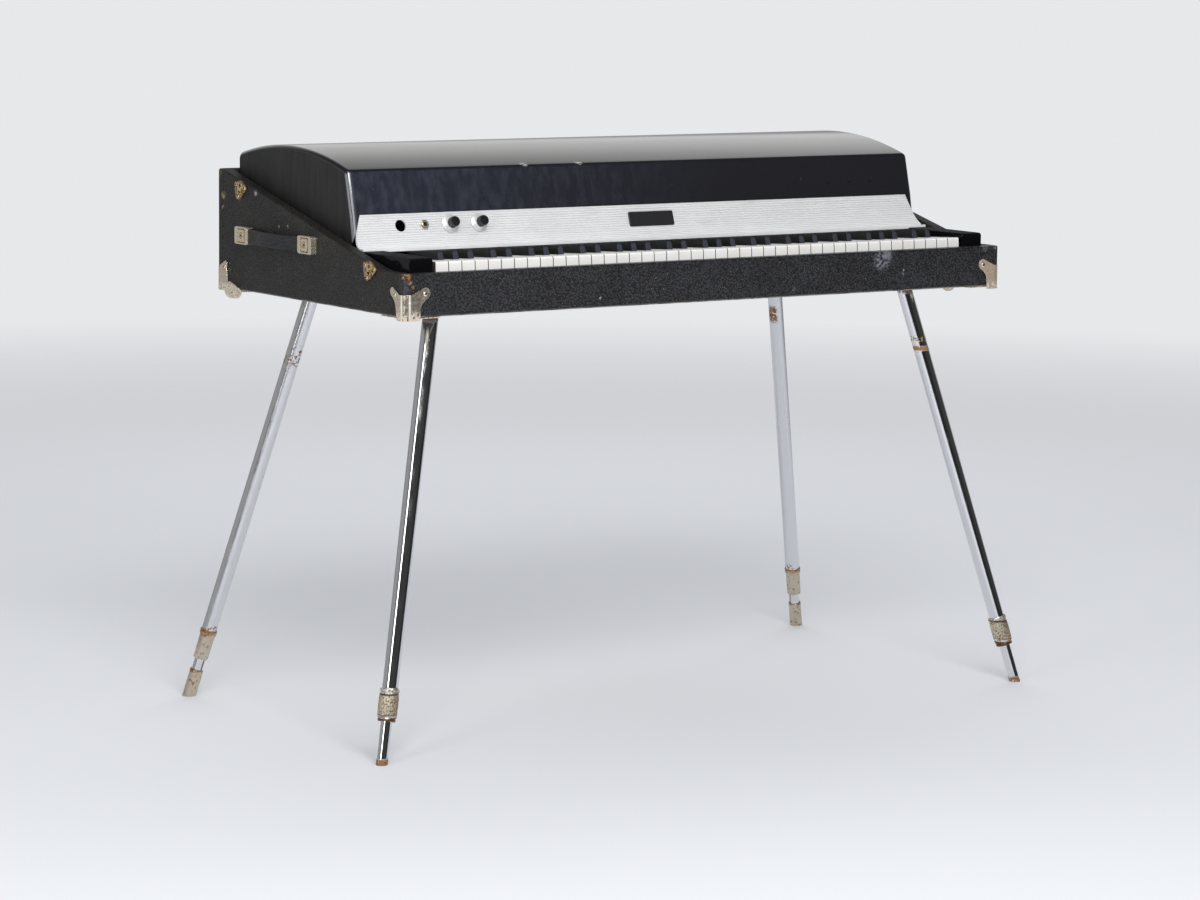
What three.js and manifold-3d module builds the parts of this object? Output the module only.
// A 73-key electric stage piano standing on four splayed legs.
//
// Lengths are millimetres. X runs to the player's right, Y to the back and Z up. The origin is
// on the floor, under the middle of the case. Case pieces are drawn from the case's front face
// (Y) and from its underside (Z), and legs are drawn along their own tube.

import * as THREE from 'three';
import { mergeVertices } from 'three/addons/utils/BufferGeometryUtils.js';
import Module from 'manifold-3d';

const wasm = await Module();
wasm.setup();

// Driving dimensions

const seam = 0.3;                 // clearance between a piece and the one it seats on
const overrun = 5;                // how far a cutting tool runs past what it cuts
const lap = 1;                    // how far two bodies of one piece run into each other

// Case: plywood box, low at the front, with sides that slope up to the back
const caseDepth = 578;
const floorToCase = 670;
const frontHeight = 66;
const rearHeight = 190;
const slopeSetback = 67;          // from the case's front to the foot of the sides' slope
const slopeBlend = 20;            // half the length of the curve at its foot
const boardThickness = 19;
const bottomThickness = 12;
const cornerRadius = 12;
const edgeRadius = 4;
const cleatWidth = 18;
const cleatDepth = 22;
const cleatDrop = 8;
const cleatGap = 5;               // from the name rail to the cleats' front end

// Keyboard
const whiteCount = 43;
const keyPitch = 23.65;
const keyGap = 1.15;
const keyLength = 321;
const keyFrontGap = 3;
const keyHeight = 24;
const keyFrontTop = 80.2;
const keyTilt = 3.2 * Math.PI / 180;
const balanceSetback = 201.5;
const capLength = 150;
const capThickness = 2.2;
const capLip = 2.5;
const capFrontHeight = 18;
const keyTravel = 9.5;
const sharpSetback = 52.5;
const sharpFrontGap = 2.2;
const sharpWidth = 10.5;
const sharpTopWidth = 8.6;
const sharpRise = 13.7;
const sharpFall = 2.4;
const sharpSlopeRun = 4.5;
const sharpLength = 92;
const firstOpenWhite = 19;        // C in the middle of the keyboard
const openWhiteCount = 8;         // the octave whose keys move one by one

// Key frame under the keys
const frontRailInset = 10;        // behind the keys' fronts
const frontRailDepth = 38;
const balanceRailDepth = 36;
const balanceRidge = 8;
const balanceRidgeHeight = 1.7;
const backRailDepth = 24;
const backRailInset = 3;
const frameBarWidth = 31;

// Cheek blocks beside the keys
const cheekGap = 5.525;
const cheekWidth = 41;
const cheekToSide = 3;
const cheekRise = 6.3;            // above the keys' front edge
const cheekDepth = 168;
const cheekRadius = 4;

// Name rail: ribbed sheet that stands behind the keys and curves forward over them
const railLipRun = 141;           // from the keys' fronts to the lip
const railLipClear = 1;           // from the sharps to the lip's hem
const railLipDepth = 11;
const railHemHeight = 5.4;
const railThickness = 3;
const railLean = 18 * Math.PI / 180;
const railCoveRadius = 39.5;
const railCoveStart = 30 * Math.PI / 180;
const railFaceLength = 29.1;
const ribCount = 14;
const ribDepth = 0.9;
const fittingHeight = 31;         // knobs and jack above the lip

// Fittings on the name rail
const openHoleInset = 86;         // from the rail's left end
const openHoleRadius = 9.5;
const jackInset = 128;
const jackBore = 3.7;
const jackBushWall = 1;
const jackBushReach = 5;
const jackNutRadius = 8;
const jackNutThickness = 3;
const jackBodyRadius = 9.5;
const jackBodyLength = 14;
const jackBodyWall = 2;
const volumeKnobInset = 176;
const bassKnobInset = 229;
const knobSkirtRadius = 14.7;
const knobSkirtHeight = 5;
const knobGripRadius = 8.4;
const knobHeight = 18;
const knobFluteDepth = 0.7;
const knobFluteCount = 16;
const knobStandoff = 1.2;
const knobRim = 1.1;
const knobCrown = 1.5;
const shaftRadius = 3;
const shaftLength = 14;

// Harp cover: one moulded sheet with a leaning front, a crowned top and closed ends
const coverToSide = 7;
const coverThickness = 3;
const coverProud = 0.8;           // in front of the name rail's top edge
const coverFrontHeight = 69.5;
const coverShoulderRun = 27;
const coverRearInset = 44;        // from the case's back
const coverRearRise = 31;         // above the case's back
const coverBackInset = 22;
const coverCrown = 20;
const coverFrontRun = 15;
const coverEdgeRadius = 9;
const cornerPostWidth = 15.5;     // of the cover's front corners beside the name rail
const cornerPostFoot = 4;         // above the rail's lip
const cornerPostLean = 10 * Math.PI / 180;
const crownSteps = 12;
const roundSteps = 4;

// Harp: frame with tone bars, tines and pickups
const harpPlateGap = 8;           // outwards from the cheek blocks' inner faces
const harpPlateThickness = 14;
const harpFrontSetback = 262;
const harpRailDepth = 28;
const harpRailHeight = 27.2;
const harpBackInset = 34;
const longestBarShare = 0.727;    // of the harp's depth
const shortestBarShare = 0.163;
const barWidth = 9;
const barThickness = 6;
const pickupRailDepth = 20;
const pickupRailHeight = 12;

// Action rail with the hammers
const actionSetback = 322;
const actionDepth = 26;
const actionLift = 7.2;           // above the keys' sticks
const actionHeight = 18;
const hammerReach = 52;
const hammerGap = 6.8;            // from the hammers to the harp
const hammerWidth = 8;
const hammerNeck = 5;

// Corner guards: pressed sheet around the lower corners
const guardThickness = 1.5;
const guardDip = 34.5;
const guardSkirt = 3;
// Wings by their screw ear and neck, as distances from the case's corner and its underside
const faceWing = { earReach: 36, earHeight: 36.5, earRadius: 9, neck: 28, neckHeight: 13, foot: 27 };
const sideWing = { earReach: 31, earHeight: 38, earRadius: 7, neck: 22, neckHeight: 13, foot: 20 };
const rearSideWing = { earReach: 31, earHeight: 38, earRadius: 6, neck: 38, neckHeight: 12, foot: 73 };
// Round feet under the guards
const frontFoot = { insetX: 53, insetY: 67, radius: 10, height: 10.4 };
const rearFoot = { insetX: 17, insetY: 65, radius: 13, height: 14 };

// Lid latch keepers on the sides
const frontKeeperInset = 97;
const rearKeeperInset = 82;
const keeperWidth = 40;
const keeperHeight = 31;
const keeperRadius = 5;
const keeperThickness = 2.5;
const frontKeeperTop = 78.6;
const rearKeeperTop = 175.2;

// Carrying handles on the sides
const handleInset = 198;          // from the case's back to the strap's middle
const handleHeight = 89;
const handleLength = 242;
const handleCapLength = 42;
const handleCapHeight = 27.5;
const handleCapReach = 10.5;
const handleCapWall = 2.2;
const handleCapRadius = 4;
const strapWidth = 22.5;
const strapThickness = 4.5;
const strapBow = 9;
const strapSteps = 12;

// Legs
const legSplayX = 161;
const legSplayY = 125;
const tubeWall = 2.6;
const tubeEngagement = 20;
const extensionShow = 108.3;      // from the tube's end to the floor, along the leg
const collarGrip = 7;
const collarLength = 50;
const collarWall = 2.7;
const knurlDepth = 0.5;
const extensionRadius = 9;
const extensionClear = 0.9;
const extensionOverlap = 150;
const tipWall = 2;
const tipGap = 19;                // from the collar to the tip's sleeve
const flangeRadius = 32;
const flangeThickness = 3;
const flangeBossWall = 3.5;
const flangeBossHeight = 25;
const flangeGap = 8;              // behind the key frame's front rail
const flangeToBar = 21;           // inwards from the key frame's side bars

// Facets in a full turn
const fineTurn = 24;
const plainTurn = 16;
const coarseTurn = 6;

// Finishes

const finish = {
  vinyl: new THREE.MeshStandardMaterial({ color: 0x1d1c1e, roughness: 0.75, metalness: 0 }),
  cover: new THREE.MeshStandardMaterial({ color: 0x0c0d10, roughness: 0.18, metalness: 0 }),
  rail: new THREE.MeshStandardMaterial({ color: 0xd6d7d8, roughness: 0.35, metalness: 0.9 }),
  cheek: new THREE.MeshStandardMaterial({ color: 0x0b0b0d, roughness: 0.2, metalness: 0 }),
  white: new THREE.MeshStandardMaterial({ color: 0xf1eee6, roughness: 0.3, metalness: 0 }),
  black: new THREE.MeshStandardMaterial({ color: 0x17171a, roughness: 0.4, metalness: 0 }),
  wood: new THREE.MeshStandardMaterial({ color: 0xb48a5a, roughness: 0.8, metalness: 0 }),
  nickel: new THREE.MeshStandardMaterial({ color: 0xbcb198, roughness: 0.4, metalness: 0.9 }),
  brass: new THREE.MeshStandardMaterial({ color: 0xa48a5e, roughness: 0.45, metalness: 0.85 }),
  chrome: new THREE.MeshStandardMaterial({ color: 0xc9cbcd, roughness: 0.12, metalness: 1 }),
  steel: new THREE.MeshStandardMaterial({ color: 0x8d8f92, roughness: 0.45, metalness: 0.9 }),
  rubber: new THREE.MeshStandardMaterial({ color: 0x141414, roughness: 0.85, metalness: 0 }),
  knob: new THREE.MeshStandardMaterial({ color: 0x101012, roughness: 0.35, metalness: 0.1 }),
};

// Places across the piano, from its middle
const keyboardWidth = whiteCount * keyPitch;
const cheekInner = keyboardWidth / 2 + cheekGap;
const cheekOuter = cheekInner + cheekWidth;
const halfWidth = cheekOuter + cheekToSide + boardThickness;
const coverHalfWidth = halfWidth - boardThickness - coverToSide;
const railHalfWidth = coverHalfWidth;
const openHoleX = -railHalfWidth + openHoleInset;
const jackX = -railHalfWidth + jackInset;
const volumeKnobX = -railHalfWidth + volumeKnobInset;
const bassKnobX = -railHalfWidth + bassKnobInset;

// Places from the case's front face, and heights above its underside
const keyFrontSetback = boardThickness + keyFrontGap;
const stickHeight = keyHeight - capThickness;
const balanceY = keyFrontSetback + balanceSetback;
const balanceZ = keyFrontTop - balanceSetback * Math.sin(keyTilt) - keyHeight * Math.cos(keyTilt);
const frontRailSetback = keyFrontSetback + frontRailInset;
const frontRailBack = frontRailSetback + frontRailDepth;
const frontRailTop = balanceZ + (balanceY - frontRailBack) * Math.tan(keyTilt) - keyTravel;
const cheekTop = keyFrontTop + cheekRise;
const sharpEndTop = balanceZ + (keyHeight + sharpRise) * Math.cos(keyTilt) - sharpFall
  + (balanceSetback - railLipRun) * Math.sin(keyTilt);
const railLipSetback = keyFrontSetback + railLipRun;
const railLipTop = sharpEndTop + railLipClear + railHemHeight;
const coveSweep = Math.PI / 2 - railLean - railCoveStart;
const coveStartY = railLipSetback + railLipDepth;
const railFaceRun = railCoveRadius * coveSweep + railFaceLength;
const [railTopY, railTopZ] = railPoint(railFaceRun, 0);
const coverFrontSetback = railTopY - coverProud;
const coverFrontBottom = railTopZ + seam;
const coverShoulderSetback = coverFrontSetback + coverShoulderRun;
const coverShoulderHeight = coverFrontBottom + coverFrontHeight;
const coverRearSetback = caseDepth - coverRearInset;
const coverBackSetback = caseDepth - coverBackInset;
const coverRearTop = rearHeight + coverRearRise;
const harpBackSetback = caseDepth - harpBackInset;
const longestBar = (harpBackSetback - harpFrontSetback) * longestBarShare;
const shortestBar = (harpBackSetback - harpFrontSetback) * shortestBarShare;
const handleMiddle = caseDepth - handleInset;

// Legs
const tubeBore = extensionRadius + extensionClear;
const tubeRadius = tubeBore + tubeWall;
const flangeBossRadius = tubeRadius + flangeBossWall;
const legTopX = cheekInner - flangeToBar - flangeRadius;
const legTopY = caseDepth / 2 - frontRailBack - flangeGap - flangeRadius;
const legLength = Math.hypot(legSplayX, legSplayY, floorToCase);
const tubeEnd = legLength - extensionShow;
const collarStart = tubeEnd - collarGrip;
const collarEnd = collarStart + collarLength;

const piano = new THREE.Group();
const caseGroup = new THREE.Group();
caseGroup.position.set(0, -caseDepth / 2, floorToCase);
piano.add(caseGroup);

// Solids: three.js geometry made into closed bodies that can be cut and joined

const weld = 1e-4;

function solidOf(geometry) {
  const bare = new THREE.BufferGeometry();
  bare.setAttribute('position', geometry.getAttribute('position'));
  if (geometry.index) bare.setIndex(geometry.index);
  const merged = mergeVertices(bare, weld);
  const corners = merged.index.array;
  const kept = [];
  for (let i = 0; i < corners.length; i += 3) {
    const [a, b, c] = [corners[i], corners[i + 1], corners[i + 2]];
    if (a !== b && b !== c && c !== a) kept.push(a, b, c);
  }
  return new wasm.Manifold(new wasm.Mesh({
    numProp: 3,
    vertProperties: new Float32Array(merged.getAttribute('position').array),
    triVerts: new Uint32Array(kept),
  }));
}

function geometryOf(solid) {
  const mesh = solid.getMesh();
  const geometry = new THREE.BufferGeometry();
  geometry.setAttribute('position', new THREE.BufferAttribute(new Float32Array(mesh.vertProperties), 3));
  geometry.setIndex(new THREE.BufferAttribute(new Uint32Array(mesh.triVerts), 1));
  const faceted = geometry.toNonIndexed();
  faceted.computeVertexNormals();
  return faceted;
}

function joined(solids) {
  return solids.reduce((whole, next) => whole.add(next));
}

function shapeOf(points) {
  return new THREE.Shape(points.map(([x, y]) => new THREE.Vector2(x, y)));
}

function prism(shape, length, turn = plainTurn) {
  return new THREE.ExtrudeGeometry(shape, {
    depth: length,
    bevelEnabled: false,
    curveSegments: Math.ceil(turn / 8),
  });
}

// A profile drawn in (Y, Z) and drawn out along X from one place to another
function alongX(shape, from, to, turn) {
  const basis = new THREE.Matrix4().set(0, 0, 1, from, 1, 0, 0, 0, 0, 1, 0, 0, 0, 0, 0, 1);
  return solidOf(prism(shape, to - from, turn).applyMatrix4(basis));
}

// A silhouette drawn in (X, Z) and drawn out along Y
function alongY(shape, from, to, turn) {
  const basis = new THREE.Matrix4().set(1, 0, 0, 0, 0, 0, -1, to, 0, 1, 0, 0, 0, 0, 0, 1);
  return solidOf(prism(shape, to - from, turn).applyMatrix4(basis));
}

// A plan drawn in (X, Y) and drawn out along Z
function alongZ(shape, from, to, turn) {
  return solidOf(prism(shape, to - from, turn).translate(0, 0, from));
}

function block(x0, x1, y0, y1, z0, z1) {
  const box = new THREE.BoxGeometry(x1 - x0, y1 - y0, z1 - z0);
  return solidOf(box.translate((x0 + x1) / 2, (y0 + y1) / 2, (z0 + z1) / 2));
}

// A round bar between two points
function bar(from, to, radius, sides = plainTurn) {
  const run = new THREE.Vector3().subVectors(to, from);
  const turn = new THREE.Quaternion().setFromUnitVectors(
    new THREE.Vector3(0, 1, 0), run.clone().normalize());
  const rod = new THREE.CylinderGeometry(radius, radius, run.length(), sides);
  const middle = new THREE.Vector3().addVectors(from, to).multiplyScalar(1 / 2);
  return solidOf(rod.applyMatrix4(new THREE.Matrix4().compose(middle, turn, new THREE.Vector3(1, 1, 1))));
}

// A turned piece about the Z axis: points are [radius, height], up the outside
function turned(points, sides) {
  const lathe = new THREE.LatheGeometry(points.map(([r, z]) => new THREE.Vector2(r, z)), sides);
  return solidOf(lathe.rotateX(Math.PI / 2));
}

function roundedPlan(x0, x1, y0, y1, radius) {
  const shape = new THREE.Shape();
  shape.moveTo(x0 + radius, y0);
  shape.lineTo(x1 - radius, y0);
  shape.absarc(x1 - radius, y0 + radius, radius, -Math.PI / 2, 0);
  shape.lineTo(x1, y1 - radius);
  shape.absarc(x1 - radius, y1 - radius, radius, 0, Math.PI / 2);
  shape.lineTo(x0 + radius, y1);
  shape.absarc(x0 + radius, y1 - radius, radius, Math.PI / 2, Math.PI);
  shape.lineTo(x0, y0 + radius);
  shape.absarc(x0 + radius, y0 + radius, radius, Math.PI, Math.PI * 3 / 2);
  return shape;
}

function disc(x, y, radius, sides) {
  const points = [];
  for (let side = 0; side < sides; side += 1) {
    const turn = Math.PI * 2 * side / sides;
    points.push([x + radius * Math.cos(turn), y + radius * Math.sin(turn)]);
  }
  return shapeOf(points);
}

function addPart(name, solid, material, group = caseGroup) {
  const mesh = new THREE.Mesh(geometryOf(solid), material);
  mesh.name = name;
  group.add(mesh);
  return mesh;
}

// Case

const slopeEnd = caseDepth - boardThickness;
const slope = (rearHeight - frontHeight) / (slopeEnd - slopeSetback);
const slopeFootSteps = 5;

function sideTop(y) {
  return frontHeight + (Math.min(Math.max(y, slopeSetback), slopeEnd) - slopeSetback) * slope;
}

const sideFront = boardThickness + seam;
const sideBack = caseDepth - boardThickness - seam;
const casePlan = (grow) => roundedPlan(
  -halfWidth - grow, halfWidth + grow, -grow, caseDepth + grow, cornerRadius + grow);

function sideBoard(side) {
  const foot = new THREE.QuadraticBezierCurve(
    new THREE.Vector2(slopeSetback + slopeBlend, sideTop(slopeSetback + slopeBlend)),
    new THREE.Vector2(slopeSetback, frontHeight),
    new THREE.Vector2(slopeSetback - slopeBlend, frontHeight));
  const panel = shapeOf([
    [sideFront, 0], [sideBack, 0], [sideBack, sideTop(sideBack)],
    ...foot.getPoints(slopeFootSteps).map(({ x, y }) => [x, y]), [sideFront, frontHeight],
  ]);
  const cleatFront = coverFrontSetback + railThickness + cleatGap;
  const cleat = shapeOf([
    [cleatFront, sideTop(cleatFront) - cleatDrop - cleatDepth],
    [sideBack, sideTop(sideBack) - cleatDrop - cleatDepth],
    [sideBack, sideTop(sideBack) - cleatDrop],
    [cleatFront, sideTop(cleatFront) - cleatDrop],
  ]);
  const inner = halfWidth - boardThickness;
  if (side > 0) {
    return alongX(panel, inner, halfWidth).add(alongX(cleat, inner - cleatWidth, inner + lap));
  }
  return alongX(panel, -halfWidth, -inner).add(alongX(cleat, -inner - lap, -inner + cleatWidth));
}

function frontBoard() {
  const profile = new THREE.Shape();
  profile.moveTo(0, 0);
  profile.lineTo(boardThickness, 0);
  profile.lineTo(boardThickness, frontHeight);
  profile.lineTo(edgeRadius, frontHeight);
  profile.absarc(edgeRadius, frontHeight - edgeRadius, edgeRadius, Math.PI / 2, Math.PI);
  profile.lineTo(0, 0);
  const bar = alongX(profile, -halfWidth, halfWidth);
  return bar.intersect(alongZ(casePlan(0), 0, frontHeight));
}

function backBoard() {
  const y0 = caseDepth - boardThickness;
  return block(-halfWidth, halfWidth, y0, caseDepth, 0, rearHeight)
    .intersect(alongZ(casePlan(0), 0, rearHeight));
}

// Leg lines in the case's frame: from the middle of the foot to the middle of the leg's top

const legCorners = [
  ['front_left', -1, -1], ['front_right', 1, -1], ['rear_left', -1, 1], ['rear_right', 1, 1],
];

function legTop(sx, sy) {
  return new THREE.Vector3(sx * legTopX, caseDepth / 2 + sy * legTopY, 0);
}

function legUp(sx, sy) {
  return new THREE.Vector3(-sx * legSplayX, -sy * legSplayY, floorToCase).normalize();
}

function onLeg(sx, sy, up) {
  return legTop(sx, sy).addScaledVector(legUp(sx, sy), up);
}

function bottomBoard() {
  const inner = halfWidth - boardThickness - seam;
  let board = block(-inner, inner, sideFront, sideBack, 0, bottomThickness);
  for (const [, sx, sy] of legCorners) {
    const bore = bar(onLeg(sx, sy, -flangeBossHeight), onLeg(sx, sy, flangeBossHeight),
      flangeBossRadius + seam, plainTurn);
    board = board.subtract(bore);
  }
  return board;
}

addPart('case_bottom', bottomBoard(), finish.wood);
addPart('case_left_side', sideBoard(-1), finish.vinyl);
addPart('case_right_side', sideBoard(1), finish.vinyl);
addPart('case_front_rail', frontBoard(), finish.vinyl);
addPart('case_back_panel', backBoard(), finish.vinyl);

// Keys: each is a stick on the balance rail, with a moulded cap. They are drawn level, from
// the key's front (Y) and from its underside (Z), in a group tilted about the balance ridge.

const keyGroup = new THREE.Group();
keyGroup.position.set(0, balanceY, balanceZ);
keyGroup.rotation.x = -keyTilt;
caseGroup.add(keyGroup);

// Note of a white key in its octave, from 0 for C to 6 for B: the lowest key is an E
const noteOf = (white) => (white + 2) % 7;
const whiteX = (white) => -keyboardWidth / 2 + white * keyPitch;
const hasSharpAbove = (white) => ![2, 6].includes(noteOf(white)) && white < whiteCount - 1;

// Sharps stand where the tails of the whites around them are equally wide
function sharpX(white) {
  const note = noteOf(white);
  const inLowGroup = note < 3;
  const groupStart = whiteX(white) - (inLowGroup ? note : note - 3) * keyPitch;
  const groupWidth = (inLowGroup ? 3 : 4) * keyPitch;
  const tails = inLowGroup ? 5 : 7;
  const tail = inLowGroup ? note * 2 + 1 : (note - 3) * 2 + 1;
  return groupStart + groupWidth * (tail + 1 / 2) / tails;
}

function whiteProfile() {
  const shape = new THREE.Shape();
  shape.moveTo(0, keyHeight - capFrontHeight);
  shape.lineTo(capLip, keyHeight - capFrontHeight);
  shape.lineTo(capLip, 0);
  shape.lineTo(keyLength, 0);
  shape.lineTo(keyLength, stickHeight);
  shape.lineTo(capLength, stickHeight);
  shape.lineTo(capLength, keyHeight);
  shape.lineTo(capLip, keyHeight);
  shape.absarc(capLip, keyHeight - capLip, capLip, Math.PI / 2, Math.PI);
  return shape;
}

function sharpProfile() {
  const top = keyHeight + sharpRise;
  const end = sharpSetback + sharpLength;
  return shapeOf([
    [sharpSetback, 0], [keyLength, 0], [keyLength, stickHeight], [end, stickHeight],
    [end, top - sharpFall], [sharpSetback + sharpSlopeRun * 2, top],
    [sharpSetback + sharpSlopeRun, top - capThickness], [sharpSetback, keyHeight - capThickness],
  ]);
}

// A white key seen from above: full width in front, notched beside its sharps
function whitePlan(white) {
  const left = whiteX(white) + keyGap / 2;
  const right = whiteX(white + 1) - keyGap / 2;
  const notch = sharpSetback - sharpFrontGap;
  const reach = sharpWidth / 2 + keyGap;
  const leftTail = white > 0 && hasSharpAbove(white - 1) ? sharpX(white - 1) + reach : left;
  const rightTail = hasSharpAbove(white) ? sharpX(white) - reach : right;
  const points = [[left, 0], [right, 0]];
  if (rightTail < right) points.push([right, notch]);
  if (rightTail < right) points.push([rightTail, notch]);
  points.push([rightTail, keyLength], [leftTail, keyLength]);
  if (leftTail > left) points.push([leftTail, notch]);
  if (leftTail > left) points.push([left, notch]);
  return shapeOf(points);
}

function sharpSection(white) {
  const x = sharpX(white);
  const top = keyHeight + sharpRise;
  const shoulder = top - capThickness;
  return shapeOf([
    [x - sharpWidth / 2, 0], [x + sharpWidth / 2, 0], [x + sharpWidth / 2, stickHeight],
    [x + (sharpWidth + sharpTopWidth) / 4, shoulder], [x + sharpTopWidth / 2 - capThickness / 2, top],
    [x - sharpTopWidth / 2 + capThickness / 2, top], [x - (sharpWidth + sharpTopWidth) / 4, shoulder],
    [x - sharpWidth / 2, stickHeight],
  ]);
}

// Key pieces lie with the balance point at the group's origin
const fromBalance = new THREE.Matrix4().makeTranslation(0, -balanceSetback, 0);

function aboutBalance(solid) {
  return solidOf(geometryOf(solid).applyMatrix4(fromBalance));
}

function whiteKey(white) {
  const profile = alongX(whiteProfile(), whiteX(white), whiteX(white + 1));
  return aboutBalance(profile.intersect(alongZ(whitePlan(white), 0, keyHeight)));
}

function sharpKey(white) {
  const x = sharpX(white);
  const profile = alongX(sharpProfile(), x - sharpWidth, x + sharpWidth);
  return aboutBalance(profile.intersect(alongY(sharpSection(white), 0, keyLength)));
}

const lastOpenWhite = firstOpenWhite + openWhiteCount - 1;
const noteNames = ['c', 'd', 'e', 'f', 'g', 'a', 'b'];

for (let white = firstOpenWhite; white <= lastOpenWhite; white += 1) {
  const last = white === lastOpenWhite && openWhiteCount > 7;
  const name = noteNames[noteOf(white)] + (last ? '_upper' : '');
  addPart(`key_${name}`, whiteKey(white), finish.white, keyGroup);
  if (hasSharpAbove(white) && white < lastOpenWhite) {
    addPart(`key_${name}_sharp`, sharpKey(white), finish.black, keyGroup);
  }
}

// The other keys stand on their own stretch of the balance rail and are one piece with it
const railFloor = bottomThickness + seam;

function ridgeProfile(top) {
  const ridgeFoot = balanceZ - seam - balanceRidgeHeight;
  const half = balanceRidge / 2;
  return shapeOf([
    [balanceY - balanceRailDepth / 2, railFloor], [balanceY + balanceRailDepth / 2, railFloor],
    [balanceY + balanceRailDepth / 2, ridgeFoot], [balanceY + half, ridgeFoot],
    [balanceY + half / 2, top - balanceRidgeHeight / 8], [balanceY, top],
    [balanceY - half / 2, top - balanceRidgeHeight / 8], [balanceY - half, ridgeFoot],
    [balanceY - balanceRailDepth / 2, ridgeFoot],
  ]);
}

// Where the rail under a run of keys starts: a sharp just before the run belongs to it
function runStart(first) {
  const sharpBefore = first > 0 && hasSharpAbove(first - 1);
  return sharpBefore ? sharpX(first - 1) - sharpWidth / 2 : whiteX(first);
}

function keyRun(first, last) {
  keyGroup.updateMatrix();
  const keys = [];
  for (let white = first; white <= last; white += 1) {
    keys.push(whiteKey(white));
    if (white > 0 && hasSharpAbove(white - 1)) keys.push(sharpKey(white - 1));
  }
  const tilted = keys.map((key) => solidOf(geometryOf(key).applyMatrix4(keyGroup.matrix)));
  const rail = alongX(ridgeProfile(balanceZ + balanceRidgeHeight),
    runStart(first), runStart(last + 1) - seam);
  return joined([rail, ...tilted]);
}

addPart('low_keys', keyRun(0, firstOpenWhite - 1), finish.white);
addPart('high_keys', keyRun(lastOpenWhite + 1, whiteCount - 1), finish.white);

// Key frame: front and back rails, the open octave's balance rail and the bars between them

function keyFrame() {
  const frontY = frontRailSetback;
  const tailY = keyFrontSetback + keyLength - backRailInset;
  const backTop = balanceZ - (tailY - balanceY) * Math.tan(keyTilt) - seam;
  const barInner = cheekInner;
  const barOuter = barInner + frameBarWidth;
  const front = block(-barInner - lap, barInner + lap, frontY, frontRailBack,
    railFloor, frontRailTop);
  const back = block(-barInner - lap, barInner + lap, tailY - backRailDepth, tailY,
    railFloor, backTop);
  const left = block(-barOuter, -barInner, frontY, tailY, railFloor, frontRailTop);
  const right = block(barInner, barOuter, frontY, tailY, railFloor, frontRailTop);
  return { front, back, sides: [left, right], frontY, tailY };
}

function keyFrameSolid() {
  const { front, back, sides, frontY, tailY } = keyFrame();
  const from = runStart(firstOpenWhite);
  const to = runStart(lastOpenWhite + 1) - seam;
  const balance = alongX(ridgeProfile(balanceZ - seam), from, to);
  const barTop = railFloor + bottomThickness;
  const middle = (from + to) / 2;
  const cross = block(middle - frameBarWidth / 2, middle + frameBarWidth / 2,
    frontY + lap, tailY - lap, railFloor, barTop);
  return joined([front, back, ...sides, balance, cross]);
}

addPart('key_frame', keyFrameSolid(), finish.wood);

// Cheek blocks: lacquered, rounded in front, rebated at the back for the rail's lip

const rebateTop = railLipTop - railHemHeight - seam;

function cheekBlock(side) {
  const top = cheekTop;
  const front = keyFrontSetback;
  const back = front + cheekDepth;
  const profile = new THREE.Shape();
  profile.moveTo(front, frontRailTop + seam);
  profile.lineTo(back, frontRailTop + seam);
  profile.lineTo(back, rebateTop);
  profile.lineTo(railLipSetback - seam, rebateTop);
  profile.lineTo(railLipSetback - seam, top);
  profile.lineTo(front + cheekRadius, top);
  profile.absarc(front + cheekRadius, top - cheekRadius, cheekRadius, Math.PI / 2, Math.PI);
  const x0 = Math.min(side * cheekInner, side * cheekOuter);
  return alongX(profile, x0, x0 + cheekOuter - cheekInner);
}

addPart('cheek_block_left', cheekBlock(-1), finish.cheek);
addPart('cheek_block_right', cheekBlock(1), finish.cheek);

// Name rail: the visible face runs from the lip through a cove to a leaning straight, and all
// of cove and straight carry fine ribs

// A point on the face: run is measured along it from the lip, out is proud of it
function railPoint(run, out) {
  const coveLength = railCoveRadius * coveSweep;
  const centreY = coveStartY - railCoveRadius * Math.sin(railCoveStart);
  const centreZ = railLipTop + railCoveRadius * Math.cos(railCoveStart);
  const turn = railCoveStart + Math.min(run / railCoveRadius, coveSweep);
  const radius = railCoveRadius - out;
  const beyond = Math.max(run - coveLength, 0);
  return [
    centreY + radius * Math.sin(turn) + beyond * Math.cos(turn),
    centreZ - radius * Math.cos(turn) + beyond * Math.sin(turn),
  ];
}

function railProfile() {
  const points = [
    [railLipSetback, railLipTop - railHemHeight],
    [railLipSetback + railThickness, railLipTop - railHemHeight],
    [railLipSetback + railThickness, railLipTop - railThickness],
  ];
  const backSteps = 6;
  for (let step = 0; step <= backSteps; step += 1) {
    points.push(railPoint(railFaceRun * step / backSteps, -railThickness));
  }
  const ribRun = railFaceRun / ribCount;
  for (let rib = ribCount - 1; rib >= 0; rib -= 1) {
    points.push(railPoint((rib + 1) * ribRun, -ribDepth));
    points.push(railPoint((rib + 3 / 4) * ribRun, 0));
    points.push(railPoint((rib + 1 / 4) * ribRun, 0));
  }
  points.push(railPoint(0, -ribDepth / 2));
  points.push([railLipSetback + railThickness / 3, railLipTop]);
  points.push([railLipSetback, railLipTop - railThickness / 3]);
  return shapeOf(points);
}

// Fittings stand square to the leaning straight, fittingHeight above the lip
function fittingPlace(x) {
  const along = railCoveRadius * coveSweep;
  const [y0, z0] = railPoint(along, 0);
  const lift = railLipTop + fittingHeight - z0;
  const place = new THREE.Group();
  place.position.set(x, y0 + lift * Math.tan(railLean), z0 + lift);
  place.rotation.x = Math.PI / 2 - railLean;
  return place;
}

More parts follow.
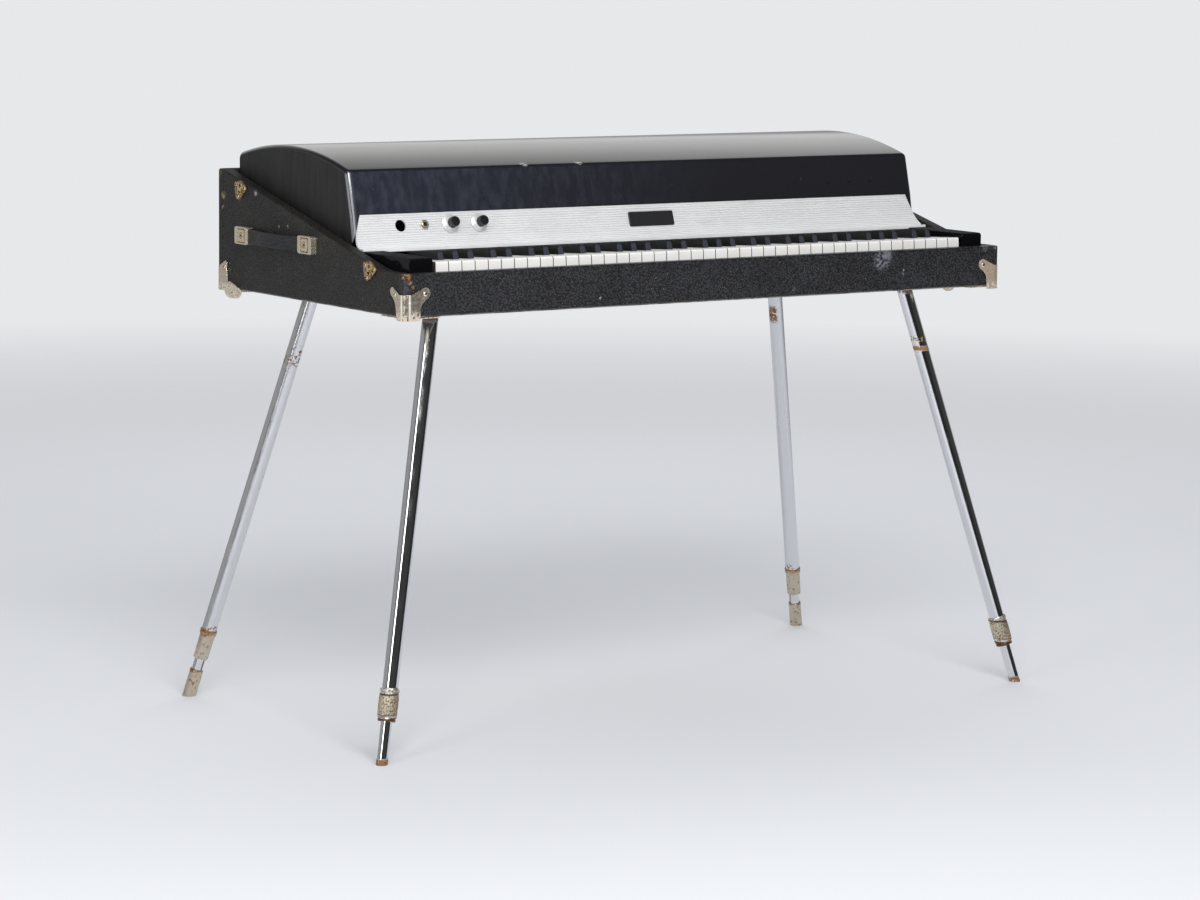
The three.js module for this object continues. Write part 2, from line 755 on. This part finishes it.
function fittingHole(x, radius, sides = fineTurn) {
  const place = fittingPlace(x);
  const out = new THREE.Vector3(0, 0, overrun * 2).applyEuler(place.rotation);
  const from = place.position.clone().sub(out);
  const to = place.position.clone().add(out);
  return bar(from, to, radius, sides);
}

// The field between the cover's corner posts, which widen upwards
const cornerPostBottom = railLipTop + cornerPostFoot;
const cornerPostTop = coverFrontBottom;

function betweenPosts(spare, below, y0, y1) {
  const low = coverHalfWidth - spare;
  const high = low - cornerPostWidth;
  const drop = cornerPostBottom - below;
  return alongY(shapeOf([
    [-low, drop - overrun], [low, drop - overrun], [low, cornerPostBottom], [high, cornerPostTop],
    [-high, cornerPostTop], [-low, cornerPostBottom],
  ]), y0, y1);
}

function nameRail() {
  let rail = alongX(railProfile(), -railHalfWidth, railHalfWidth);
  rail = rail.subtract(fittingHole(openHoleX, openHoleRadius));
  rail = rail.subtract(fittingHole(jackX, jackBore + jackBushWall + seam));
  rail = rail.subtract(fittingHole(volumeKnobX, shaftRadius + seam, plainTurn));
  rail = rail.subtract(fittingHole(bassKnobX, shaftRadius + seam, plainTurn));
  const spare = seam * Math.hypot(cornerPostWidth, cornerPostTop - cornerPostBottom)
    / (cornerPostTop - cornerPostBottom);
  const outside = block(-halfWidth, halfWidth, 0, caseDepth, cornerPostBottom - seam, caseDepth);
  return rail.subtract(outside.subtract(betweenPosts(spare, seam, 0, caseDepth)));
}

addPart('name_rail', nameRail(), finish.rail);

// Output jack: hexagon nut on a threaded bush, with the body behind the rail
function outputJack() {
  const jackBushRadius = jackBore + jackBushWall;
  const bodyTop = -railThickness - seam;
  const bodyEnd = bodyTop - jackBodyLength;
  const bush = turned([
    [jackBore, bodyEnd + jackBodyWall], [jackBodyRadius, bodyEnd + jackBodyWall],
    [jackBodyRadius, bodyTop],
    [jackBushRadius, bodyTop], [jackBushRadius, jackBushReach], [jackBore, jackBushReach],
    [jackBore, bodyEnd + jackBodyWall],
  ], plainTurn);
  const ring = turned([
    [jackBushRadius - seam, seam], [jackNutRadius, seam], [jackNutRadius, seam + jackNutThickness],
    [jackBushRadius - seam, seam + jackNutThickness], [jackBushRadius - seam, seam],
  ], coarseTurn);
  const back = turned([
    [0, bodyEnd], [jackBodyRadius, bodyEnd], [jackBodyRadius, bodyEnd + jackBodyWall + lap],
    [0, bodyEnd + jackBodyWall + lap],
  ], plainTurn);
  return joined([bush, ring, back]);
}

const jackPlace = fittingPlace(jackX);
caseGroup.add(jackPlace);
addPart('output_jack', outputJack(), finish.nickel, jackPlace);

// Knobs: dished metal skirt under a fluted grip, on a shaft through the rail
const fluteShares = [0, 1 / 3, 2 / 3];

function knob() {
  const skirtTop = knobStandoff + knobSkirtHeight;
  const skirt = turned([
    [0, -shaftLength], [shaftRadius, -shaftLength], [shaftRadius, knobStandoff],
    [knobSkirtRadius, knobStandoff], [knobSkirtRadius, knobStandoff + knobRim],
    [knobGripRadius + knobFluteDepth, skirtTop], [0, skirtTop],
  ], fineTurn);
  const outline = [];
  for (let flute = 0; flute < knobFluteCount; flute += 1) {
    for (const share of fluteShares) {
      const angle = (flute + share) / knobFluteCount * Math.PI * 2;
      const radius = knobGripRadius - (share > 1 / 2 ? knobFluteDepth : 0);
      outline.push([radius * Math.cos(angle), radius * Math.sin(angle)]);
    }
  }
  const grip = alongZ(shapeOf(outline), skirtTop - lap, knobHeight);
  const crown = turned([
    [0, 0], [knobGripRadius + lap, 0], [knobGripRadius + lap, knobHeight - knobCrown - lap],
    [knobGripRadius - knobCrown, knobHeight], [0, knobHeight],
  ], fineTurn);
  return skirt.add(grip.intersect(crown));
}

for (const [name, x] of [['volume_knob', volumeKnobX], ['bass_knob', bassKnobX]]) {
  const place = fittingPlace(x);
  caseGroup.add(place);
  addPart(name, knob(), finish.knob, place);
}

// Harp cover: lofted from end to end, each section drawn in towards the ends so that every
// edge is rounded, then hollowed by the same loft made smaller by the sheet

function coverOutline() {
  const shoulder = coverFrontSetback + coverFrontRun;
  const points = [
    [coverBackSetback, 0], [coverBackSetback, coverRearTop - coverEdgeRadius * 2],
    [(coverRearSetback + coverBackSetback * 3) / 4, coverRearTop - coverEdgeRadius * 3 / 4],
  ];
  for (let step = crownSteps; step >= 0; step -= 1) {
    const share = step / crownSteps;
    points.push([
      coverShoulderSetback + (coverRearSetback - coverShoulderSetback) * share,
      coverShoulderHeight + (coverRearTop - coverShoulderHeight) * share
        + coverCrown * 4 * share * (1 - share),
    ]);
  }
  points.push([shoulder + coverEdgeRadius / 3, coverShoulderHeight - coverEdgeRadius / 3]);
  points.push([shoulder, coverShoulderHeight - coverEdgeRadius]);
  points.push([coverFrontSetback, coverFrontBottom]);
  points.push([coverFrontSetback - coverFrontBottom * Math.tan(cornerPostLean), 0]);
  return points;
}

// Moves every side of an outline inwards by the same distance
function drawnIn(points, distance) {
  const count = points.length;
  const outward = ([ax, ay], [bx, by]) => {
    const length = Math.hypot(bx - ax, by - ay);
    return [(by - ay) / length, (ax - bx) / length];
  };
  return points.map((point, i) => {
    const before = outward(points[(i + count - 1) % count], point);
    const after = outward(point, points[(i + 1) % count]);
    const across = 1 + before[0] * after[0] + before[1] * after[1];
    return [
      point[0] - distance * (before[0] + after[0]) / across,
      point[1] - distance * (before[1] + after[1]) / across,
    ];
  });
}

// A closed skin over matching outlines at rising places along X
function loft(sections) {
  const count = sections[0].points.length;
  const positions = [];
  for (const { x, points } of sections) {
    for (const [y, z] of points) positions.push(x, y, z);
  }
  const index = [];
  for (let s = 0; s + 1 < sections.length; s += 1) {
    for (let i = 0; i < count; i += 1) {
      const a = s * count + i;
      const b = s * count + (i + 1) % count;
      index.push(a, b, a + count, b, b + count, a + count);
    }
  }
  const cap = THREE.ShapeUtils.triangulateShape(
    sections[0].points.map(([y, z]) => new THREE.Vector2(y, z)), []);
  const last = (sections.length - 1) * count;
  for (const [a, b, c] of cap) {
    index.push(a, c, b);
    index.push(last + a, last + b, last + c);
  }
  const geometry = new THREE.BufferGeometry();
  geometry.setAttribute('position', new THREE.BufferAttribute(new Float32Array(positions), 3));
  geometry.setIndex(index);
  return solidOf(geometry);
}

function coverLoft(inset) {
  const outline = coverOutline();
  const half = coverHalfWidth - inset;
  const radius = coverEdgeRadius - inset;
  const ends = [];
  for (let step = 0; step <= roundSteps; step += 1) {
    const turn = Math.PI / 2 * step / roundSteps;
    const points = drawnIn(outline, inset + radius * (1 - Math.sin(turn)));
    ends.push({ x: half - radius * (1 - Math.cos(turn)), points });
  }
  const left = ends.map(({ x, points }) => ({ x: -x, points }));
  return loft([...left, ...ends.reverse()]);
}

function harpCover() {
  const front = 0;
  const back = coverBackSetback + overrun;
  const foot = shapeOf([
    [front, -overrun], [back, -overrun], [back, rearHeight - cleatDrop + seam],
    [slopeEnd, rearHeight - cleatDrop + seam], [slopeSetback, frontHeight - cleatDrop + seam],
    [front, frontHeight - cleatDrop + seam],
  ]);
  const below = alongX(foot, -halfWidth, halfWidth);
  const behind = coverFrontSetback + railThickness * 2;
  const apron = block(-halfWidth, halfWidth, front, behind, -overrun, cornerPostBottom);
  const opening = betweenPosts(0, 0, front, behind);
  return coverLoft(0).subtract(coverLoft(coverThickness)).subtract(below).subtract(apron)
    .subtract(opening);
}

addPart('harp_cover', harpCover(), finish.cover);

// Harp: two rails that rest on the cleats, a fork for each note and a slanted row of pickups

const noteCount = 73;
const harpPlateInner = cheekInner + harpPlateGap;
const harpSeat = sideTop(harpFrontSetback + harpRailDepth) - cleatDrop + seam;
const harpRailTop = harpSeat + harpRailHeight;

function harp() {
  const end = coverHalfWidth - coverThickness - seam * 2;
  const back = harpFrontSetback + harpRailDepth;
  const seat = harpSeat;
  const front = block(-end, end, harpFrontSetback, back, seat, harpRailTop);
  const rearSeat = sideTop(harpBackSetback) - cleatDrop + seam;
  const rearStart = harpBackSetback - pickupRailDepth;
  const rear = block(-end, end, rearStart, harpBackSetback, rearSeat, rearSeat + pickupRailHeight);
  const armTop = rearSeat + pickupRailHeight;
  const arm = shapeOf([
    [harpFrontSetback + lap, harpRailTop - lap], [back, seat + lap],
    [harpBackSetback - lap, rearSeat + lap], [harpBackSetback - lap, armTop - lap],
    [harpFrontSetback + lap, harpRailTop + barThickness],
  ]);
  const plates = [
    alongX(arm, -harpPlateInner - harpPlateThickness, -harpPlateInner),
    alongX(arm, harpPlateInner, harpPlateInner + harpPlateThickness),
  ];
  const notes = [];
  const spacing = keyboardWidth / noteCount;
  for (let note = 0; note < noteCount; note += 1) {
    const share = note / (noteCount - 1);
    const x = -keyboardWidth / 2 + spacing * (note + 1 / 2);
    const reach = longestBar + (shortestBar - longestBar) * share;
    const start = harpFrontSetback + barThickness;
    const fork = shapeOf([
      [start, harpRailTop - lap], [start + barWidth, harpRailTop - lap],
      [start + barWidth, harpRailTop + barThickness * 2],
      [start + reach, harpRailTop + barThickness * 2],
      [start + reach, harpRailTop + barThickness * 3], [start, harpRailTop + barThickness * 3],
    ]);
    notes.push(alongX(fork, x - barWidth / 2, x + barWidth / 2));
  }
  const pickups = pickupRail();
  return joined([front, rear, ...plates, pickups, ...notes]);
}

// The pickup rail runs slantwise past the free ends of the forks
function pickupRail() {
  const clear = harpFrontSetback + barThickness + pickupRailDepth;
  const reachAt = (x) => {
    const share = (x + keyboardWidth / 2) / keyboardWidth;
    return clear + longestBar + (shortestBar - longestBar) * share;
  };
  const end = harpPlateInner + lap;
  const plan = shapeOf([
    [-end, reachAt(-end)], [end, reachAt(end)],
    [end, reachAt(end) + pickupRailDepth], [-end, reachAt(-end) + pickupRailDepth],
  ]);
  const bottom = harpRailTop + barThickness / 2;
  return alongZ(plan, bottom, bottom + pickupRailHeight);
}

addPart('harp', harp(), finish.wood);

// Action rail: a board between the sides that carries a hammer for each note
function actionRail() {
  const end = halfWidth - boardThickness - seam;
  const bottom = balanceZ + stickHeight + actionLift;
  const top = bottom + actionHeight;
  const hammerTop = harpSeat - hammerGap;
  const rail = block(-end, end, actionSetback, actionSetback + actionDepth, bottom, top);
  const hammerProfile = shapeOf([
    [actionSetback + lap, top - hammerNeck], [actionSetback + lap, top],
    [actionSetback - hammerReach + hammerNeck * 2, top],
    [actionSetback - hammerReach + hammerNeck * 2, hammerTop],
    [actionSetback - hammerReach, hammerTop], [actionSetback - hammerReach, top - hammerNeck],
  ]);
  const hammers = [];
  const spacing = keyboardWidth / noteCount;
  for (let note = 0; note < noteCount; note += 1) {
    const x = -keyboardWidth / 2 + spacing * (note + 1 / 2);
    hammers.push(alongX(hammerProfile, x - hammerWidth / 2, x + hammerWidth / 2));
  }
  return joined([rail, ...hammers]);
}

addPart('action_rail', actionRail(), finish.wood);

// Corner guards: sheet bent round the corner, with a screw ear on the front or back, another
// on the side, and a round foot under the case

const guardOut = seam + guardThickness;
const earSteps = 8;
const earSweep = Math.PI * 5 / 6;
const neckSteps = 4;

// Silhouette of a wing. Past the corner it is tall, so that the other wing sets the edge there.
function wingShape(wing) {
  const tall = wing.earHeight + wing.earRadius + overrun;
  const points = [
    [-overrun, -caseDepth], [-overrun, tall], [0, tall], [0, guardDip], [cornerRadius, guardDip],
  ];
  for (let step = 0; step <= earSteps; step += 1) {
    const turn = Math.PI / 2 - earSweep * step / earSteps;
    points.push([
      wing.earReach + wing.earRadius * Math.cos(turn),
      wing.earHeight + wing.earRadius * Math.sin(turn),
    ]);
  }
  const [earX, earZ] = points[points.length - 1];
  const bend = new THREE.QuadraticBezierCurve(
    new THREE.Vector2(earX, earZ), new THREE.Vector2(wing.neck, (earZ + wing.neckHeight) / 2),
    new THREE.Vector2(wing.neck, wing.neckHeight));
  bend.getPoints(neckSteps).slice(1).forEach(({ x, y }) => points.push([x, y]));
  points.push([wing.foot, 0], [wing.foot, -caseDepth]);
  return points;
}

function cornerGuard(sx, sy) {
  const fromX = (inset) => sx * (halfWidth - inset);
  const fromY = (inset) => (sy < 0 ? inset : caseDepth - inset);
  const top = faceWing.earHeight + faceWing.earRadius + overrun;
  const skin = alongZ(casePlan(guardOut), -guardOut - guardSkirt, top)
    .subtract(alongZ(casePlan(seam), -guardOut - guardSkirt - overrun, top + overrun));
  const face = shapeOf(wingShape(faceWing).map(([inset, z]) => [fromX(inset), z]));
  const side = shapeOf(wingShape(sy < 0 ? sideWing : rearSideWing)
    .map(([inset, z]) => [fromY(inset), z]));
  const walls = skin.intersect(alongY(face, -overrun, caseDepth + overrun))
    .intersect(alongX(side, -halfWidth - overrun, halfWidth + overrun));
  const { insetX, insetY, radius, height } = sy < 0 ? frontFoot : rearFoot;
  const pad = shapeOf([
    [0, 0], [insetX + radius, 0], [insetX + radius, insetY], [insetX, insetY + radius],
    [Math.max(insetX - radius, 0), insetY + radius], [0, insetY],
  ].map(([x, y]) => [fromX(x), fromY(y)]));
  const plate = alongZ(pad, -guardOut, -seam)
    .intersect(alongZ(casePlan(guardOut), -guardOut, -seam));
  const foot = turned([
    [0, -guardOut - height], [radius / 2, -guardOut - height],
    [radius * 7 / 8, -guardOut - height * 3 / 4], [radius, -guardOut - height / 3],
    [radius, -guardOut + guardThickness / 2], [0, -guardOut + guardThickness / 2],
  ], plainTurn).translate(fromX(insetX), fromY(insetY), 0);
  return joined([walls, plate, foot]);
}

for (const [corner, sx, sy] of legCorners) {
  addPart(`corner_guard_${corner}`, cornerGuard(sx, sy), finish.nickel);
}

// Latch keepers: rounded plates under the top edge of the sides

const keeperShares = [[0.5, -0.1], [-0.08, 0], [-0.5, -0.38], [0.1, -1], [0.36, -0.96]];

function roundedOutline(points, radius) {
  const shape = new THREE.Shape();
  points.forEach(([x, y], i) => {
    const [px, py] = points[(i + points.length - 1) % points.length];
    const [nx, ny] = points[(i + 1) % points.length];
    const before = Math.min(radius / Math.hypot(px - x, py - y), 1 / 2);
    const after = Math.min(radius / Math.hypot(nx - x, ny - y), 1 / 2);
    const start = [x + (px - x) * before, y + (py - y) * before];
    if (i === 0) shape.moveTo(...start);
    else shape.lineTo(...start);
    shape.quadraticCurveTo(x, y, x + (nx - x) * after, y + (ny - y) * after);
  });
  return shape;
}

function latchKeeper(side, setback, top) {
  const outline = roundedOutline(keeperShares.map(([across, down]) => [
    setback + across * keeperWidth, top + down * keeperHeight]), keeperRadius);
  const inner = halfWidth + seam;
  const [from, to] = side < 0 ? [-inner - keeperThickness, -inner] : [inner, inner + keeperThickness];
  return alongX(outline, from, to);
}

for (const [place, setback, top] of [
  ['front', frontKeeperInset, frontKeeperTop], ['rear', caseDepth - rearKeeperInset, rearKeeperTop],
]) {
  addPart(`latch_keeper_${place}_left`, latchKeeper(-1, setback, top), finish.brass);
  addPart(`latch_keeper_${place}_right`, latchKeeper(1, setback, top), finish.brass);
}

// Handles: a bowed strap whose ends are held in two pressed caps

function outwardX(side, from, to, shape, turn) {
  const [near, far] = [halfWidth + from, halfWidth + to];
  return side < 0 ? alongX(shape, -far, -near, turn) : alongX(shape, near, far, turn);
}

function squareAt(y, z, width, height, radius) {
  return roundedPlan(y - width / 2, y + width / 2, z - height / 2, z + height / 2, radius);
}

function handleCap(side, end) {
  const y = handleMiddle + end * (handleLength - handleCapLength) / 2;
  const slot = strapWidth + seam * 2;
  const reach = handleCapLength - handleCapWall;
  const slotY = y - end * handleCapWall;
  const shell = outwardX(side, seam, handleCapReach,
    squareAt(y, handleHeight, handleCapLength, handleCapHeight, handleCapRadius));
  const hollow = outwardX(side, -overrun, handleCapReach - handleCapWall,
    squareAt(slotY, handleHeight, reach + lap, slot, seam));
  const face = handleCapHeight - handleCapWall * 2;
  const groove = outwardX(side, handleCapReach - handleCapWall / 3, handleCapReach + overrun,
    squareAt(y, handleHeight, face, face, handleCapRadius / 2));
  const island = outwardX(side, 0, handleCapReach + overrun * 2,
    squareAt(y, handleHeight, face - handleCapRadius, face - handleCapRadius, handleCapRadius / 2));
  return shell.subtract(hollow).subtract(groove.subtract(island));
}

function handleStrap(side) {
  const endY = handleLength / 2 - handleCapWall * 2;
  const exit = handleLength / 2 - handleCapLength;
  const inner = handleCapReach - handleCapWall - seam - strapThickness;
  const points = [];
  for (let step = 0; step <= strapSteps; step += 1) {
    const share = step / strapSteps * 2 - 1;
    points.push([exit * share, inner + strapBow * (1 - share * share) * (1 - share * share)]);
  }
  const path = [[-endY, inner], ...points, [endY, inner]];
  const outside = path.map(([y, out]) => [y, out + strapThickness]).reverse();
  const plan = [...path, ...outside].map(([y, out]) => [side * (halfWidth + out), handleMiddle + y]);
  return alongZ(shapeOf(plan), handleHeight - strapWidth / 2, handleHeight + strapWidth / 2);
}

for (const [name, side] of [['left', -1], ['right', 1]]) {
  addPart(`handle_strap_${name}`, handleStrap(side), finish.rubber);
  addPart(`handle_cap_front_${name}`, handleCap(side, -1), finish.nickel);
  addPart(`handle_cap_rear_${name}`, handleCap(side, 1), finish.nickel);
}

// Leg flanges: a plate on the bottom board with a slanted socket through it

function legFlange(sx, sy) {
  const seat = bottomThickness + seam;
  const middle = onLeg(sx, sy, seat);
  const boss = bar(onLeg(sx, sy, -flangeBossHeight), onLeg(sx, sy, flangeBossHeight * 2),
    flangeBossRadius, plainTurn)
    .intersect(block(-halfWidth, halfWidth, 0, caseDepth, 0, flangeBossHeight));
  const plate = alongZ(disc(middle.x, middle.y, flangeRadius, fineTurn),
    seat, seat + flangeThickness);
  const bore = bar(onLeg(sx, sy, -flangeBossHeight * 2), onLeg(sx, sy, flangeBossHeight * 3),
    tubeRadius + seam, plainTurn);
  return boss.add(plate).subtract(bore);
}

// Legs: tube, knurled collar and sliding extension, drawn down the leg from its top

function legTube() {
  return turned([
    [tubeBore, -tubeEnd], [tubeRadius, -tubeEnd], [tubeRadius, tubeEngagement],
    [tubeBore, tubeEngagement], [tubeBore, -tubeEnd],
  ], plainTurn);
}

function legCollar() {
  const step = tubeEnd + seam;
  const radius = tubeRadius + collarWall;
  const chamfer = knurlDepth * 2;
  return turned([
    [extensionRadius + seam, -collarEnd], [radius - chamfer, -collarEnd],
    [radius, -collarEnd + chamfer], [radius, -collarStart - chamfer],
    [radius - chamfer, -collarStart], [tubeRadius + seam, -collarStart],
    [tubeRadius + seam, -step], [extensionRadius + seam, -step],
    [extensionRadius + seam, -collarEnd],
  ], plainTurn);
}

function legExtension(place, sleeved) {
  const start = tubeEnd - extensionOverlap;
  const end = legLength + collarLength;
  const tipStart = collarEnd + tipGap;
  const tipRadius = extensionRadius + tipWall;
  const profile = sleeved ? [
    [0, -end], [tipRadius, -end], [tipRadius, -tipStart - lap], [tipRadius - lap, -tipStart],
    [extensionRadius, -tipStart], [extensionRadius, -start], [0, -start],
  ] : [[0, -end], [extensionRadius, -end], [extensionRadius, -start], [0, -start]];
  const depth = collarLength * 2;
  place.updateMatrix();
  const middle = new THREE.Vector3(0, 0, -legLength).applyMatrix4(place.matrix);
  const level = new THREE.BoxGeometry(depth * 2, depth * 2, depth)
    .translate(middle.x, middle.y, -floorToCase - depth / 2)
    .applyMatrix4(place.matrix.clone().invert());
  return turned(profile, plainTurn).subtract(solidOf(level));
}

for (const [corner, sx, sy] of legCorners) {
  const place = new THREE.Group();
  place.position.copy(legTop(sx, sy));
  place.quaternion.setFromUnitVectors(new THREE.Vector3(0, 0, 1), legUp(sx, sy));
  caseGroup.add(place);
  addPart(`leg_flange_${corner}`, legFlange(sx, sy), finish.steel);
  addPart(`leg_tube_${corner}`, legTube(), finish.chrome, place);
  addPart(`leg_collar_${corner}`, legCollar(), finish.steel, place);
  addPart(`leg_extension_${corner}`, legExtension(place, sy > 0), finish.chrome, place);
}

export default piano;
